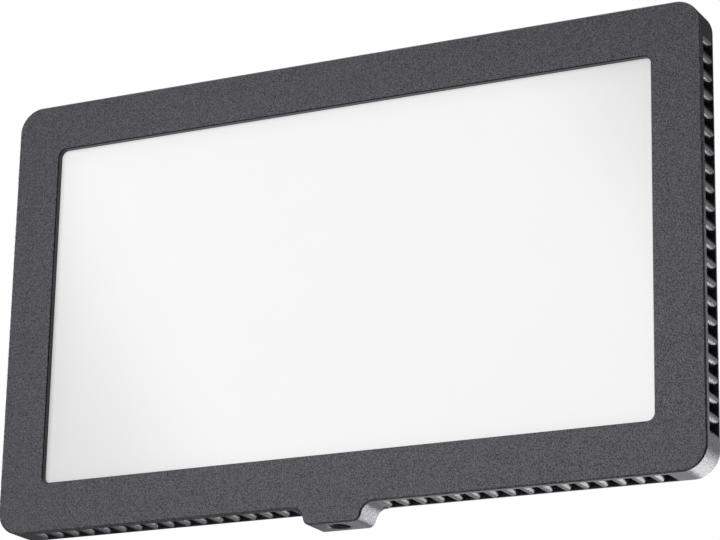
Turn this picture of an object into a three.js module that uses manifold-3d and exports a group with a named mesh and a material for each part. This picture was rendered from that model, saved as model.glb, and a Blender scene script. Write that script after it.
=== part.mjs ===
// Slim LED soft-light panel with a fluted aluminium housing and a tripod boss.
// Millimetres, +Z up. X runs along the panel's width, and the light leaves towards -Y.
// The origin is the centre of the tripod hole's mouth, on the boss's underside.
import * as THREE from 'three';
import { mergeVertices } from 'three/addons/utils/BufferGeometryUtils.js';
import Module from 'manifold-3d';

const wasm = await Module();
wasm.setup();

// ---- Driving dimensions of the panel -------------------------------------------------
const PANEL_W = 250;
const PANEL_H = 150.5;
const PANEL_D = 11.5;
const CORNER_R = 8.3;
const BEZEL = 16.6;
const WINDOW_R = 2.5;
const WINDOW_CHAMFER = 0.3;
const FRONT_CHAMFER = 0.5;
const BACK_CHAMFER = 0.3;
const FLANGE_T = 2.4; // solid front flange ahead of the flutes
const COVER_T = 1.1;
const LIP_T = 1.9; // bezel thickness round the window

// ---- Flutes round the sides ----------------------------------------------------------
const FLUTE_PITCH = 6.08;
const FLUTE_GAP = 2.3;
const FLUTE_DEPTH = 3.2;
const RIB_R = 1.88; // rounding of each rib's shoulders
const RIB_STEPS = 3;
const SIDE_FLUTES = 10; // flutes each side of the middle one, short sides
const LONG_FLUTES = 18; // the same, long sides
const BOSS_CLEAR_FLUTES = 3; // first flute beside the boss
const PORT_CLEAR_FLUTES = 2; // first flute beside the charging port

// ---- Tripod boss ---------------------------------------------------------------------
const BOSS_DROP = 5.85;
const BOSS_HALF = 10.2;
const BOSS_FILLET = 4.35;
const BOSS_CORNER = 1.45;
const SOCKET_R = 3.45;
const SOCKET_DEPTH = 10.2;
const SOCKET_CHAMFER = 0.3;
const INSERT_R = 3.4;
const INSERT_BORE_R = 3.05;
const INSERT_INSET = 0.5;
const INSERT_LENGTH = 9.2;
const INSERT_EDGE = 0.15;

// ---- Interior ------------------------------------------------------------------------
const GAP = 0.05; // between stacked sheets
const CLEAR = 0.3; // between pieces that only sit near each other
const WALL = 4.8; // side wall, measured from the panel's outer face
const LEDGE = 13.1; // long edges of the optical pocket, from the outer face
const STRIP_LEDGE = 11.4; // its short edges, which also hold the LED strips
const LIGHT_INSET = 13.6; // edge of the light guide from the outer face
const LEDGE_Y = 0.25;
const GASKET_T = 0.3;
const DIFFUSER_T = 1.4;
const GUIDE_T = 2;
const REFLECTOR_T = 0.25;
const PLATE_T = 0.8;
const POCKET_R = 2; // inner corners of the optical pocket
const SHEET_R = 1.5; // corners of the sheets that lie in it
const POST_R = 2.6;
const POST_INSET = 9;
const POST_X = 42;
const PLATE_SCREW_X = 78;

// ---- Derived places ------------------------------------------------------------------
const FRONT = -PANEL_D / 2;
const BACK = PANEL_D / 2;
const COVER_Y = BACK - COVER_T;
const FLANGE_Y = FRONT + FLANGE_T;
const LIP_Y = FRONT + LIP_T;
const MID_Z = BOSS_DROP + PANEL_H / 2;
const TOP_Z = BOSS_DROP + PANEL_H;
const HALF_W = PANEL_W / 2;
const HALF_H = PANEL_H / 2;
const PLATE_Y = LEDGE_Y + GAP;
const DECK_Y = PLATE_Y + PLATE_T; // rear face of the mid plate

// ---- Materials -----------------------------------------------------------------------
function finish(color, roughness, metalness) {
  return () => new THREE.MeshStandardMaterial({ color, roughness, metalness });
}
const anodised = finish(0x55545a, 0.55, 0.8);
const opal = finish(0xf4f4f2, 0.35, 0);
const clearAcrylic = finish(0xdfe8ea, 0.1, 0);
const whiteFilm = finish(0xfafafa, 0.6, 0);
const blackFoam = finish(0x141414, 0.95, 0);
const bareAluminium = finish(0xb8bbbd, 0.4, 1);
const circuitGreen = finish(0x1d4a33, 0.5, 0);
const blackSteel = finish(0x1c1c1e, 0.4, 0.9);
const brightSteel = finish(0xc9cacc, 0.25, 1);
const foilGrey = finish(0x8f9396, 0.45, 0.6);
const blackPlastic = finish(0x19191b, 0.5, 0);
const darkLens = finish(0x0b0b0e, 0.08, 0);
const wireRed = finish(0x9c1d1d, 0.5, 0);

// ---- Solids --------------------------------------------------------------------------
function toSolid(geometry) {
  const bare = geometry.clone();
  bare.deleteAttribute('normal');
  bare.deleteAttribute('uv');
  const merged = mergeVertices(bare, 1e-5);
  return new wasm.Manifold(new wasm.Mesh({
    numProp: 3,
    vertProperties: new Float32Array(merged.attributes.position.array),
    triVerts: new Uint32Array(merged.index.array),
  }));
}

function toGeometry(solid) {
  const mesh = solid.getMesh();
  const geometry = new THREE.BufferGeometry();
  geometry.setAttribute('position', new THREE.BufferAttribute(mesh.vertProperties, 3));
  geometry.setIndex(new THREE.BufferAttribute(mesh.triVerts, 1));
  geometry.computeVertexNormals();
  return geometry;
}

function joined(base, others) {
  return others.reduce((solid, other) => solid.add(toSolid(other)), base);
}

function cut(base, others) {
  return others.reduce((solid, other) => solid.subtract(toSolid(other)), base);
}

// A box from its lowest and highest corners.
function block([x0, y0, z0], [x1, y1, z1]) {
  const geometry = new THREE.BoxGeometry(x1 - x0, y1 - y0, z1 - z0);
  return geometry.translate((x0 + x1) / 2, (y0 + y1) / 2, (z0 + z1) / 2);
}

// An outline in X and Z, extruded from yFront back to yBack.
function slab(shape, yFront, yBack) {
  const options = { depth: yBack - yFront, bevelEnabled: false, curveSegments: 6 };
  return new THREE.ExtrudeGeometry(shape, options).rotateX(Math.PI / 2).translate(0, yBack, 0);
}

// The same with both outer edges chamfered; the outline keeps its full size at mid depth.
function chamferedSlab(shape, yFront, yBack, chamfer) {
  const options = {
    depth: yBack - yFront - 2 * chamfer,
    bevelEnabled: true,
    bevelThickness: chamfer,
    bevelSize: chamfer,
    bevelOffset: -chamfer,
    bevelSegments: 1,
    curveSegments: 6,
  };
  const geometry = new THREE.ExtrudeGeometry(shape, options);
  return geometry.rotateX(Math.PI / 2).translate(0, yBack - chamfer, 0);
}

// A cylinder along Y from yFront to yBack.
function rod(x, z, radius, yFront, yBack, sides = 14) {
  const geometry = new THREE.CylinderGeometry(radius, radius, yBack - yFront, sides);
  return geometry.translate(x, (yFront + yBack) / 2, z);
}

// A profile of [radius, height] pairs turned about Z.
function turnedZ(profile, sides) {
  const points = profile.map(([radius, height]) => new THREE.Vector2(radius, height));
  return new THREE.LatheGeometry(points, sides).rotateX(Math.PI / 2);
}

// A profile of [radius, depth] pairs turned about Y, depth measured towards +Y.
function turnedY(profile, sides) {
  const points = profile.map(([radius, depth]) => new THREE.Vector2(radius, depth));
  return new THREE.LatheGeometry(points, sides);
}

// ---- Outlines ------------------------------------------------------------------------
function arc(cx, cz, radius, from, to, steps) {
  const points = [];
  for (let i = 0; i <= steps; i += 1) {
    const angle = from + ((to - from) * i) / steps;
    points.push(new THREE.Vector2(cx + radius * Math.cos(angle), cz + radius * Math.sin(angle)));
  }
  return points;
}

function roundedRect(cx, cz, width, height, radius, steps = 5) {
  const x = width / 2 - radius;
  const z = height / 2 - radius;
  const quarter = Math.PI / 2;
  const corners = [[x, -z, -quarter], [x, z, 0], [-x, z, quarter], [-x, -z, 2 * quarter]];
  const points = corners.flatMap(([dx, dz, from]) => (
    arc(cx + dx, cz + dz, radius, from, from + quarter, steps)
  ));
  return new THREE.Shape(points);
}

function circle(x, z, radius, sides = 14) {
  const points = arc(x, z, radius, 0, 2 * Math.PI, sides);
  points.pop();
  return new THREE.Path(points);
}

// One flute as [along, depth] pairs: a rounded shoulder, a parallel gap and the other shoulder.
function fluteProfile() {
  const shoulder = [];
  for (let i = 0; i <= RIB_STEPS; i += 1) {
    const angle = (i / RIB_STEPS) * (Math.PI / 2);
    const along = -FLUTE_GAP / 2 - RIB_R + RIB_R * Math.sin(angle);
    shoulder.push([along, RIB_R - RIB_R * Math.cos(angle)]);
  }
  shoulder.push([-FLUTE_GAP / 2, FLUTE_DEPTH]);
  const mirrored = shoulder.map(([along, depth]) => [-along, depth]).reverse();
  return [...shoulder, ...mirrored];
}

// The flutes of one side, walked in the direction `along`, cut in the direction `inward`.
function flutedRun(middle, along, inward, indices) {
  const profile = fluteProfile();
  return indices.flatMap((index) => profile.map(([s, depth]) => new THREE.Vector2(
    middle.x + along.x * (index * FLUTE_PITCH + s) + inward.x * depth,
    middle.y + along.y * (index * FLUTE_PITCH + s) + inward.y * depth,
  )));
}

function range(from, to) {
  return Array.from({ length: to - from + 1 }, (_, i) => from + i);
}

// The boss below the panel's lower edge, from left to right.
function bossRun() {
  const quarter = Math.PI / 2;
  const filletX = BOSS_HALF + BOSS_FILLET;
  const filletZ = BOSS_DROP - BOSS_FILLET;
  const cornerX = BOSS_HALF - BOSS_CORNER;
  return [
    ...arc(-filletX, filletZ, BOSS_FILLET, quarter, 0, 6),
    ...arc(-cornerX, BOSS_CORNER, BOSS_CORNER, 2 * quarter, 3 * quarter, 4),
    ...arc(cornerX, BOSS_CORNER, BOSS_CORNER, -quarter, 0, 4),
    ...arc(filletX, filletZ, BOSS_FILLET, 2 * quarter, quarter, 6),
  ];
}

// The panel's outline, anticlockwise from the lower left corner, with or without flutes.
function panelOutline(fluted) {
  const quarter = Math.PI / 2;
  const x = HALF_W - CORNER_R;
  const low = BOSS_DROP + CORNER_R;
  const high = TOP_Z - CORNER_R;
  const left = range(-LONG_FLUTES, -BOSS_CLEAR_FLUTES);
  const right = range(BOSS_CLEAR_FLUTES, LONG_FLUTES);
  const port = [...range(-SIDE_FLUTES, -PORT_CLEAR_FLUTES), ...range(PORT_CLEAR_FLUTES, SIDE_FLUTES)];
  const run = (px, pz, ax, az, ix, iz, list) => (fluted
    ? flutedRun(new THREE.Vector2(px, pz), new THREE.Vector2(ax, az), new THREE.Vector2(ix, iz), list)
    : []);
  return new THREE.Shape([
    ...arc(-x, low, CORNER_R, 2 * quarter, 3 * quarter, 8),
    ...run(0, BOSS_DROP, 1, 0, 0, 1, left),
    ...bossRun(),
    ...run(0, BOSS_DROP, 1, 0, 0, 1, right),
    ...arc(x, low, CORNER_R, -quarter, 0, 8),
    ...run(HALF_W, MID_Z, 0, 1, -1, 0, range(-SIDE_FLUTES, SIDE_FLUTES)),
    ...arc(x, high, CORNER_R, 0, quarter, 8),
    ...run(0, TOP_Z, -1, 0, 0, -1, range(-LONG_FLUTES, LONG_FLUTES)),
    ...arc(-x, high, CORNER_R, quarter, 2 * quarter, 8),
    ...run(-HALF_W, MID_Z, 0, -1, 1, 0, port),
  ]);
}

// ---- Cover posts ---------------------------------------------------------------------
const POSTS = [-1, 1].flatMap((side) => [
  [-(HALF_W - POST_INSET), side],
  [-POST_X, side],
  [POST_X, side],
  [HALF_W - POST_INSET, side],
]).map(([x, side]) => [x, MID_Z + side * (HALF_H - POST_INSET)]);

const PLATE_SCREWS = [-1, 1].flatMap((sx) => [-1, 1].map((sz) => (
  [sx * PLATE_SCREW_X, MID_Z + sz * (HALF_H - POST_INSET)]
)));

// ---- Charging port -------------------------------------------------------------------
const PORT_Y = 2.4;
const PORT_W = 8.94;
const PORT_T = 3.26;
const PORT_LENGTH = 7.35;
const PORT_INSET = 0.7;
const PORT_SHELL = 0.3;
const PORT_CLEAR = 0.3; // between the socket and the wall round it
const PORT_X = -HALF_W + PORT_INSET;

// A stadium-ended bar along X, for the port's hole and its shell.
function stadiumBar(xFrom, xTo, width, thickness) {
  const shape = roundedRect(0, 0, width, thickness, thickness / 2 - 0.01, 4);
  const options = { depth: xTo - xFrom, bevelEnabled: false };
  const bar = new THREE.ExtrudeGeometry(shape, options);
  return bar.rotateY(Math.PI / 2).translate(xFrom, PORT_Y, MID_Z);
}

// ---- Housing: one milled piece, open at the back -------------------------------------
const OVERCUT = 1; // how far a cutter runs past the face that it opens
const COVER_HOLE_R = 1.3;
const COVER_HOLE_DEPTH = 6;
const PLATE_HOLE_R = 1.1;
const PLATE_HOLE_DEPTH = 3;
const WALL_POCKET_R = 3.5;
const BOSS_SEAM = 0.15; // between the cover's lower edge and the boss

function pocket(insetX, insetZ, radius, yFront, yBack) {
  const shape = roundedRect(0, MID_Z, PANEL_W - 2 * insetX, PANEL_H - 2 * insetZ, radius);
  return slab(shape, yFront, yBack);
}

// The boss behind the flutes' rear face, where it reaches back below the cover's edge.
function bossTail() {
  const tail = toSolid(chamferedSlab(panelOutline(false), FRONT, BACK, BACK_CHAMFER));
  const reach = BOSS_HALF + BOSS_FILLET + OVERCUT;
  const low = [-reach, COVER_Y - OVERCUT, -OVERCUT];
  const high = [reach, BACK + OVERCUT, BOSS_DROP - BOSS_SEAM];
  return tail.intersect(toSolid(block(low, high)));
}

function tripodHole() {
  const mouth = SOCKET_R + SOCKET_CHAMFER + OVERCUT;
  return turnedZ([
    [0, -OVERCUT], [mouth, -OVERCUT], [SOCKET_R, SOCKET_CHAMFER],
    [SOCKET_R, SOCKET_DEPTH], [0, SOCKET_DEPTH],
  ], 20);
}

function frontHousing() {
  const plate = chamferedSlab(panelOutline(false), FRONT, FLANGE_Y + 2, FRONT_CHAMFER);
  const ahead = block([-PANEL_W, FRONT - OVERCUT, -OVERCUT], [PANEL_W, FLANGE_Y, TOP_Z + OVERCUT]);
  const shell = toSolid(plate).intersect(toSolid(ahead))
    .add(toSolid(slab(panelOutline(true), FLANGE_Y - 0.5, COVER_Y)))
    .add(bossTail());
  const hollows = [
    chamferedWindow(),
    pocket(STRIP_LEDGE, LEDGE, POCKET_R, LIP_Y, LEDGE_Y + OVERCUT),
    pocket(WALL, WALL, WALL_POCKET_R, LEDGE_Y, COVER_Y + OVERCUT),
    stadiumBar(
      -HALF_W - OVERCUT, -HALF_W + WALL + OVERCUT, PORT_W + 2 * PORT_CLEAR, PORT_T + 2 * PORT_CLEAR,
    ),
    tripodHole(),
  ];
  const posts = POSTS.map(([x, z]) => rod(x, z, POST_R, LEDGE_Y - 0.5, COVER_Y));
  const coverHoles = POSTS.map(([x, z]) => (
    rod(x, z, COVER_HOLE_R, COVER_Y - COVER_HOLE_DEPTH, COVER_Y + OVERCUT, 10)
  ));
  const plateHoles = PLATE_SCREWS.map(([x, z]) => (
    rod(x, z, PLATE_HOLE_R, LEDGE_Y - PLATE_HOLE_DEPTH, LEDGE_Y + OVERCUT, 10)
  ));
  return cut(joined(cut(shell, hollows), posts), [...coverHoles, ...plateHoles]);
}

// The window prism, opening out by a small chamfer at the bezel's face.
function chamferedWindow() {
  const edge = WINDOW_CHAMFER;
  const opening = roundedRect(0, MID_Z, PANEL_W - 2 * BEZEL, PANEL_H - 2 * BEZEL, WINDOW_R);
  const flare = roundedRect(
    0, MID_Z, PANEL_W - 2 * BEZEL + 2 * edge, PANEL_H - 2 * BEZEL + 2 * edge, WINDOW_R + edge,
  );
  const options = {
    depth: 1,
    bevelEnabled: true,
    bevelThickness: edge,
    bevelSize: edge,
    bevelOffset: -edge,
    bevelSegments: 1,
  };
  const cone = new THREE.ExtrudeGeometry(flare, options).rotateX(Math.PI / 2);
  const mouth = toSolid(cone.translate(0, FRONT, 0));
  return toGeometry(mouth.add(toSolid(slab(opening, FRONT - 0.5, LIP_Y + 1))));
}

// ---- Optical stack -------------------------------------------------------------------
function sheet(inset, radius, yFront, thickness, holes = []) {
  const shape = roundedRect(0, MID_Z, PANEL_W - 2 * inset, PANEL_H - 2 * inset, radius);
  shape.holes.push(...holes);
  return slab(shape, yFront, yFront + thickness);
}

const GASKET_Y = LIP_Y + GAP;
const DIFFUSER_Y = LIP_Y + GASKET_T;
const GUIDE_Y = DIFFUSER_Y + DIFFUSER_T + GAP;
const REFLECTOR_Y = GUIDE_Y + GUIDE_T + GAP;
const LED_PITCH = 5;
const LED_SIZE = 2.6;
const LED_BOARD_T = 0.8;
const LED_BOARD_W = 2.6;
const LED_W = 1.4;
const LED_T = 0.7;
const LED_GAP = 0.25; // between the LEDs and the guide's edge

function windowGasket() {
  const width = PANEL_W - 2 * BEZEL;
  const height = PANEL_H - 2 * BEZEL;
  const hole = new THREE.Path(roundedRect(0, MID_Z, width, height, WINDOW_R).getPoints());
  return sheet(LIGHT_INSET, SHEET_R, GASKET_Y, GASKET_T - 2 * GAP, [hole]);
}

// A strip of LED packages shining into one short edge of the light guide.
function ledStrip(side) {
  const ledX = HALF_W - LIGHT_INSET + LED_GAP;
  const boardX = ledX + LED_T;
  const halfLength = HALF_H - LIGHT_INSET - 1;
  const yMid = GUIDE_Y + GUIDE_T / 2;
  const box = (x0, x1, width, z0, z1) => block(
    [Math.min(side * x0, side * x1), yMid - width / 2, z0],
    [Math.max(side * x0, side * x1), yMid + width / 2, z1],
  );
  const strip = toSolid(
    box(boardX, boardX + LED_BOARD_T, LED_BOARD_W, MID_Z - halfLength, MID_Z + halfLength),
  );
  const count = Math.floor((2 * halfLength - LED_SIZE) / LED_PITCH / 2);
  const leds = range(-count, count).map((i) => {
    const z = MID_Z + i * LED_PITCH;
    return box(ledX, boardX + 0.1, LED_W, z - LED_SIZE / 2, z + LED_SIZE / 2);
  });
  return joined(strip, leds);
}

// ---- Mid plate: closes the optical pocket and spreads the heat ------------------------
const PORT_NOTCH_X = 10;
const PORT_NOTCH_Z = 7;
const LEAD_HOLE_X = 107;
const LEAD_HOLE_Z = BOSS_DROP + 11.4;
const LEAD_HOLE_HALF = 2;

function midPlate() {
  const holes = [
    ...POSTS.map(([x, z]) => circle(x, z, POST_R + CLEAR)),
    ...PLATE_SCREWS.map(([x, z]) => circle(x, z, PLATE_HOLE_R + GAP, 10)),
  ];
  const plate = toSolid(sheet(WALL + CLEAR + 0.2, WALL_POCKET_R - 0.5, PLATE_Y, PLATE_T, holes));
  const notch = block(
    [-HALF_W, PLATE_Y - OVERCUT, MID_Z - PORT_NOTCH_Z],
    [-HALF_W + PORT_NOTCH_X, DECK_Y + OVERCUT, MID_Z + PORT_NOTCH_Z],
  );
  const half = LEAD_HOLE_HALF;
  const leadHoles = [-LEAD_HOLE_X, LEAD_HOLE_X].map((x) => block(
    [x - half, PLATE_Y - OVERCUT, LEAD_HOLE_Z - half],
    [x + half, DECK_Y + OVERCUT, LEAD_HOLE_Z + half],
  ));
  return cut(plate, [notch, ...leadHoles]);
}

// ---- Screws --------------------------------------------------------------------------
const PLATE_SCREW_LENGTH = 3;
const PLATE_SCREW_R = 0.8;
const PLATE_HEAD_R = 1.5;
const PLATE_HEAD_T = 0.7;
const COVER_SCREW_LENGTH = 6;
const COVER_SCREW_R = 0.95;
const COVER_HEAD_R = 1.75;
const COVER_HEAD_T = 0.85;
const HEAD_SINK = 0.08; // the cover screws' heads below the cover's face
const HEAD_EDGE = 0.1; // the straight rim of a countersunk head

// A pan-head screw along Y: shank towards the front, head at the back.
function panScrew(headY) {
  const crown = headY + PLATE_HEAD_T;
  return turnedY([
    [0, headY - PLATE_SCREW_LENGTH], [PLATE_SCREW_R, headY - PLATE_SCREW_LENGTH],
    [PLATE_SCREW_R, headY], [PLATE_HEAD_R, headY],
    [PLATE_HEAD_R, crown - 0.25], [PLATE_HEAD_R - 0.4, crown], [0, crown],
  ], 10);
}

// A countersunk screw along Y, its head flush with the cover.
function coverScrew() {
  const face = BACK - HEAD_SINK;
  return turnedY([
    [0, face - COVER_SCREW_LENGTH], [COVER_SCREW_R, face - COVER_SCREW_LENGTH],
    [COVER_SCREW_R, face - COVER_HEAD_T], [COVER_HEAD_R, face - HEAD_EDGE],
    [COVER_HEAD_R, face], [0, face],
  ], 12);
}

// ---- Batteries and boards ------------------------------------------------------------
const CELL_W = 68;
const CELL_H = 104;
const CELL_T = 3;
const CELL_X = 77;
const CELL_Y = DECK_Y + 0.2;
const BOARD_W = 64;
const BOARD_H = 96;
const BOARD_T = 0.8;
const BOARD_Y = DECK_Y + 0.3;
const TERRACE = 5; // length of a cell's sealed terrace
const TERRACE_T = 1;

// A pouch cell: rounded edges, with the sealed terrace and its board at one end.
function batteryCell(side) {
  const x = side * CELL_X;
  const body = roundedRect(x, MID_Z + 1.5, CELL_W, CELL_H - TERRACE, 2);
  const terrace = roundedRect(x, MID_Z - 1, CELL_W - 8, CELL_H, 0.5, 2);
  const pouch = toSolid(chamferedSlab(body, CELL_Y, CELL_Y + CELL_T, 0.5));
  const seamY = CELL_Y + 0.9;
  return pouch.add(toSolid(slab(terrace, seamY, seamY + TERRACE_T)));
}

const BUTTON_Z = MID_Z - 13;
const BUTTON_PITCH = 15;
const DISPLAY_Z = MID_Z + 20;
const DISPLAY_W = 42;
const DISPLAY_H = 22;
const DISPLAY_R = 2;
const CHIP_T = 1;
// Each chip as [x, height above the middle, width, height].
const CHIPS = [
  [-20, -32, 7, 7], [-8, -34, 5, 4], [6, -33, 6, 6], [20, -34, 8, 5], [22, 40, 9, 6], [-22, 40, 6, 6],
];

function mainBoard() {
  const board = toSolid(slab(
    roundedRect(0, MID_Z, BOARD_W, BOARD_H, 1.5, 3), BOARD_Y, BOARD_Y + BOARD_T,
  ));
  const top = BOARD_Y + BOARD_T;
  const chips = CHIPS.map(([x, dz, width, height]) => block(
    [x - width / 2, top - 0.1, MID_Z + dz - height / 2],
    [x + width / 2, top + CHIP_T, MID_Z + dz + height / 2],
  ));
  return joined(board, chips);
}

const DISPLAY_Y = BOARD_Y + BOARD_T + GAP;
const DISPLAY_T = 1.6;
const LENS_FLANGE = 1.5; // how far the lens's flange reaches past the cut-out

function displayModule() {
  const glass = roundedRect(0, DISPLAY_Z, DISPLAY_W - 2, DISPLAY_H - 2, 0.6, 2);
  const frame = roundedRect(0, DISPLAY_Z, DISPLAY_W + 2, DISPLAY_H + 2, 1, 3);
  const base = toSolid(slab(frame, DISPLAY_Y, DISPLAY_Y + DISPLAY_T - 0.4));
  return base.add(toSolid(slab(glass, DISPLAY_Y + 0.5, DISPLAY_Y + DISPLAY_T)));
}

// The lens fills the cover's cut-out from inside, held by a thin flange.
function displayWindow() {
  const lens = roundedRect(0, DISPLAY_Z, DISPLAY_W, DISPLAY_H, DISPLAY_R, 4);
  const flange = roundedRect(
    0, DISPLAY_Z, DISPLAY_W + 2 * LENS_FLANGE, DISPLAY_H + 2 * LENS_FLANGE, DISPLAY_R, 4,
  );
  const face = toSolid(chamferedSlab(lens, COVER_Y - 0.5, BACK - 0.1, 0.2));
  return face.add(toSolid(slab(flange, COVER_Y - 0.4, COVER_Y - GAP)));
}

// ---- Buttons -------------------------------------------------------------------------
const BUTTONS = ['power', 'mode', 'minus', 'plus'];
const CAP_R = 4.2;
const CAP_CLEAR = 0.2;
const CAP_FLANGE_R = 5.1;
const CAP_FLANGE_T = 0.35;
const CAP_SINK = 0.1; // the caps below the cover's face
const CAP_EDGE = 0.25;
const DISH_DEPTH = 0.2;
const STEM_R = 1.8;
const SWITCH_Y = BOARD_Y + BOARD_T + GAP;
const SWITCH_SIZE = 5;
const SWITCH_T = 0.95;
const WELL_FLOOR = SWITCH_Y + 0.15;
const WELL_R = 1.5;
const PLUNGER_R = 1.2;
const PLUNGER_TIP = SWITCH_Y + SWITCH_T + 0.35;
const TRAVEL = 0.4;
const UNDER_TRAVEL = 0.1; // left under a plunger that is pressed home

function buttonX(index) {
  return (index - (BUTTONS.length - 1) / 2) * BUTTON_PITCH;
}

// The fixed body of a switch, with the well its plunger slides in.
function switchBody(x) {
  const half = SWITCH_SIZE / 2;
  const body = toSolid(block(
    [x - half, SWITCH_Y, BUTTON_Z - half],
    [x + half, SWITCH_Y + SWITCH_T, BUTTON_Z + half],
  ));
  return cut(body, [rod(x, BUTTON_Z, WELL_R, WELL_FLOOR, SWITCH_Y + SWITCH_T + OVERCUT)]);
}

function switchPlunger(x) {
  return rod(x, BUTTON_Z, PLUNGER_R, WELL_FLOOR + TRAVEL + UNDER_TRAVEL, PLUNGER_TIP, 14);
}

// A cap with a dished face, a retaining flange inside the cover and a stem to its plunger.
function buttonCap() {
  const face = BACK - CAP_SINK;
  const stemY = PLUNGER_TIP + GAP;
  const flangeY = COVER_Y - CAP_FLANGE_T - GAP;
  return turnedY([
    [0, stemY], [STEM_R, stemY], [STEM_R, flangeY],
    [CAP_FLANGE_R, flangeY], [CAP_FLANGE_R, COVER_Y - GAP],
    [CAP_R, COVER_Y - GAP], [CAP_R, face - CAP_EDGE], [CAP_R - CAP_EDGE, face],
    [CAP_R * 0.6, face - 0.6 * DISH_DEPTH], [0, face - DISH_DEPTH],
  ], 16);
}

// ---- Back cover ----------------------------------------------------------------------
const COVER_SEAM = 0.04; // between the cover and the housing's rear face
const LENS_CLEAR = 0.2;
const SINK_R = 2.1;
const SINK_DEPTH = 0.95;
const SINK_EDGE = 0.2; // the straight rim of a countersink

function backCover() {
  const low = COVER_Y - OVERCUT;
  const high = BACK + OVERCUT;
  const outline = roundedRect(0, MID_Z, PANEL_W, PANEL_H, CORNER_R, 8);
  const lensHole = roundedRect(
    0, DISPLAY_Z, DISPLAY_W + 2 * LENS_CLEAR, DISPLAY_H + 2 * LENS_CLEAR, DISPLAY_R + LENS_CLEAR, 4,
  );
  const openings = [
    slab(lensHole, low, high),
    ...BUTTONS.map((_, i) => rod(buttonX(i), BUTTON_Z, CAP_R + CAP_CLEAR, low, high, 18)),
    ...POSTS.map(([x, z]) => countersink(low, high).translate(x, 0, z)),
  ];
  const plate = toSolid(chamferedSlab(outline, COVER_Y - 2, BACK, BACK_CHAMFER));
  const ahead = block([-PANEL_W, COVER_Y - 5, -1], [PANEL_W, COVER_Y + COVER_SEAM, TOP_Z + 1]);
  return cut(plate, [ahead, ...openings]);
}

function countersink(low, high) {
  return turnedY([
    [0, low], [COVER_HOLE_R, low], [COVER_HOLE_R, BACK - SINK_DEPTH],
    [SINK_R, BACK - SINK_EDGE], [SINK_R, high], [0, high],
  ], 12);
}

// ---- Charging port pieces ------------------------------------------------------------
const PORT_END = PORT_X + PORT_LENGTH;
const PORT_BACK_T = 1.2; // the socket's closed rear end
const TONGUE_T = 0.7;
const TONGUE_W = 6.6;
const TONGUE_INSET = 0.8;
const CHARGE_BOARD_X = -HALF_W + WALL + 0.6;
const CHARGE_BOARD_W = 6.2;
const CHARGE_BOARD_H = 22;
const CHARGE_BOARD_Y = DECK_Y + 0.45;

function usbSocket() {
  const shell = toSolid(stadiumBar(PORT_X, PORT_END, PORT_W, PORT_T));
  const hollow = stadiumBar(
    PORT_X - OVERCUT, PORT_END - PORT_BACK_T, PORT_W - 2 * PORT_SHELL, PORT_T - 2 * PORT_SHELL,
  );
  const tongue = block(
    [PORT_X + TONGUE_INSET, PORT_Y - TONGUE_T / 2, MID_Z - TONGUE_W / 2],
    [PORT_END - PORT_BACK_T / 2, PORT_Y + TONGUE_T / 2, MID_Z + TONGUE_W / 2],
  );
  return joined(cut(shell, [hollow]), [tongue]);
}

// The board behind the left wall, notched round the socket that it carries.
function chargeBoard() {
  const board = toSolid(block(
    [CHARGE_BOARD_X, CHARGE_BOARD_Y, MID_Z - CHARGE_BOARD_H / 2],
    [CHARGE_BOARD_X + CHARGE_BOARD_W, CHARGE_BOARD_Y + BOARD_T, MID_Z + CHARGE_BOARD_H / 2],
  ));
  const notchHalf = PORT_W / 2 + CLEAR;
  const notch = block(
    [CHARGE_BOARD_X - OVERCUT, CHARGE_BOARD_Y - OVERCUT, MID_Z - notchHalf],
    [PORT_END + CLEAR, CHARGE_BOARD_Y + BOARD_T + OVERCUT, MID_Z + notchHalf],
  );
  return cut(board, [notch]);
}

// ---- Tripod insert: the steel sleeve that carries the thread --------------------------
function tripodInsert() {
  const low = INSERT_INSET;
  const high = INSERT_INSET + INSERT_LENGTH;
  const bore = INSERT_BORE_R;
  return turnedZ([
    [bore + INSERT_EDGE, low], [INSERT_R, low], [INSERT_R, high], [bore, high],
    [bore, low + INSERT_EDGE], [bore + INSERT_EDGE, low],
  ], 20);
}

// ---- Internal leads and tabs ---------------------------------------------------------
const LEAD_R = 0.6;
const TAB_RISE = 33; // above the panel's middle
const TAB_W = 6;
const TAB_T = 0.15;

// Each lead keeps its own route, chosen by hand, in [x, y, z].
const LED_LEAD_ROUTE = [
  [106.5, 2.2, 17.2], [104, 2.6, 18.2], [96, 2.6, 20], [80, 2.6, 21], [60, 2.6, 21.5],
  [46, 2.6, 23.5], [38, 3, 30], [34, 3.2, 38], [30, 3.2, 42],
];

function ledLead(side) {
  const points = LED_LEAD_ROUTE.map(([x, y, z]) => new THREE.Vector3(side * x, y, z));
  const extrudePath = new THREE.CatmullRomCurve3(points);
  const section = new THREE.Shape(arc(0, 0, LEAD_R, 0, 2 * Math.PI, 8).slice(0, -1));
  return new THREE.ExtrudeGeometry(section, { steps: 14, bevelEnabled: false, extrudePath });
}

// The nickel tab from a cell to the main board, lying over both.
function batteryTab(side) {
  const inner = BOARD_W / 2 - 3;
  const outer = CELL_X - CELL_W / 2 + 6;
  const y = CELL_Y + CELL_T + GAP;
  const z = MID_Z + TAB_RISE;
  const x0 = Math.min(side * inner, side * outer);
  const x1 = Math.max(side * inner, side * outer);
  return block([x0, y, z - TAB_W / 2], [x1, y + TAB_T, z + TAB_W / 2]);
}

// ---- Assembly ------------------------------------------------------------------------
const part = new THREE.Group();

function add(name, shape, material, position = [0, 0, 0]) {
  const geometry = shape.isBufferGeometry ? shape : toGeometry(shape);
  const mesh = new THREE.Mesh(geometry, material());
  mesh.name = name;
  mesh.position.set(...position);
  part.add(mesh);
}

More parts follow.
